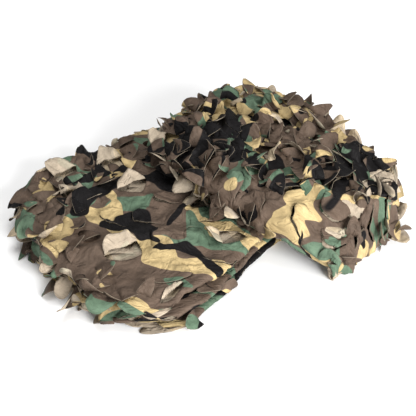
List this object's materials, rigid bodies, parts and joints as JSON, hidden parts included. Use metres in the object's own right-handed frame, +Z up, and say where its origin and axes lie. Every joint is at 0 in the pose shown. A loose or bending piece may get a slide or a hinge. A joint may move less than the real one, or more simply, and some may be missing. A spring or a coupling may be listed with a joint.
{
  "type": "camouflage net",
  "caption": "Leaf-cut camouflage net of thin printed cloth, folded into a low pad that doubles over itself as a high bundle with standing leaves.",
  "frame": {"origin": "on the floor, under the middle of the folded net's box", "axes": "+Z up; +X along the folded net's longest side, from the low pad to the high bundle; +Y to its back"},
  "size_m": [0.5455, 0.44, 0.1325],
  "materials": {
    "printed_cloth": "soft sheen, printed in brown, sand, green and black blobs, with a paler underside"
  },
  "bodies": {
    "root": {"camouflage_net": "printed_cloth"}
  },
  "joints": []
}
